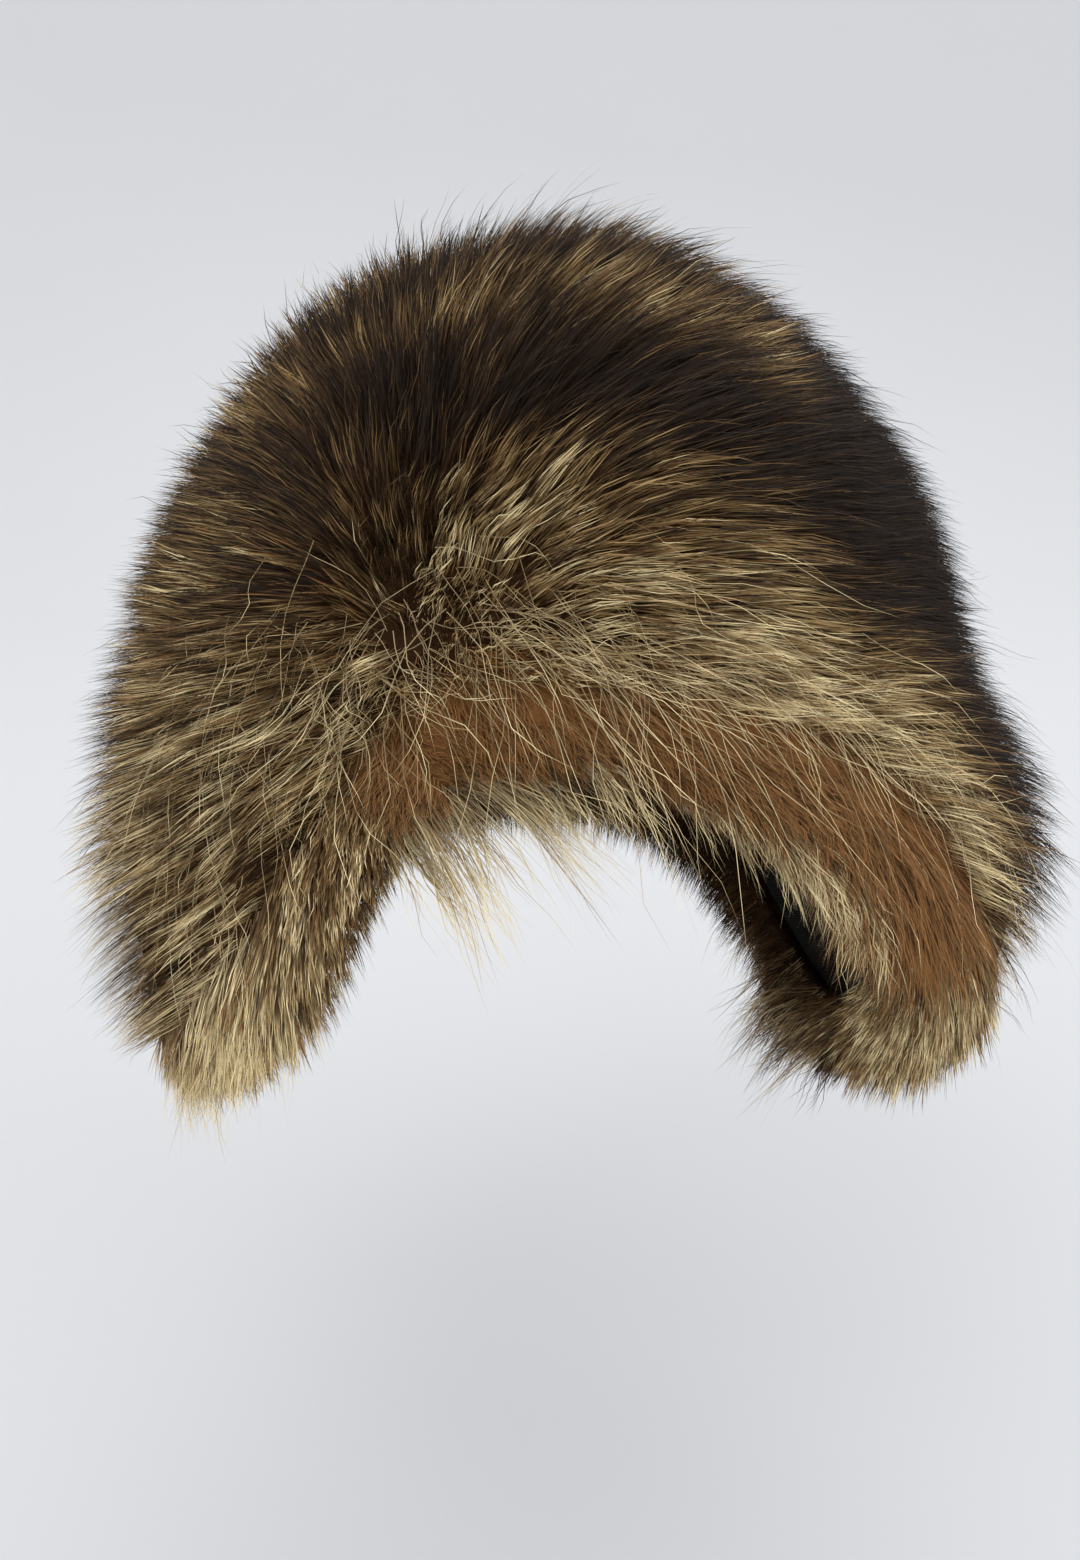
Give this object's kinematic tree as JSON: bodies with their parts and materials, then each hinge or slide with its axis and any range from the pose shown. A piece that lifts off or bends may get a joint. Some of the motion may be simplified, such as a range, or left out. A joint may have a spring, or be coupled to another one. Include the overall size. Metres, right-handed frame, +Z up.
{
  "type": "deep-fur aviator hat with brow piece, ear flaps and nape flap",
  "caption": "Deep-fur aviator hat: a domed fur crown over a brow piece, two ear flaps and a nape flap, on a dark lined shell.",
  "frame": {"origin": "the head seat: the inside top of the crown, on its middle line", "axes": "+Z up when worn, -Y the way the wearer faces, +X towards the wearer's left ear"},
  "size_m": [0.3165, 0.2969, 0.3022],
  "materials": {
    "lining_cloth": "near-black soft cloth, matt",
    "crown_fur": "deep fur, dark brown guard hairs with a tan band, matt",
    "brow_fur": "deep fur, tan and cream guard hairs over orange-brown underfur, matt",
    "ear_flap_fur": "deep fur, mixed dark brown and tan locks, matt",
    "nape_fur": "deep fur, dark brown with tan locks and cream at the edge, matt"
  },
  "bodies": {
    "root": {"lining": "lining_cloth", "crown_fur": "crown_fur", "brow_fur": "brow_fur", "ear_flap_left_fur": "ear_flap_fur", "ear_flap_right_fur": "ear_flap_fur", "nape_flap_fur": "nape_fur"}
  },
  "joints": []
}
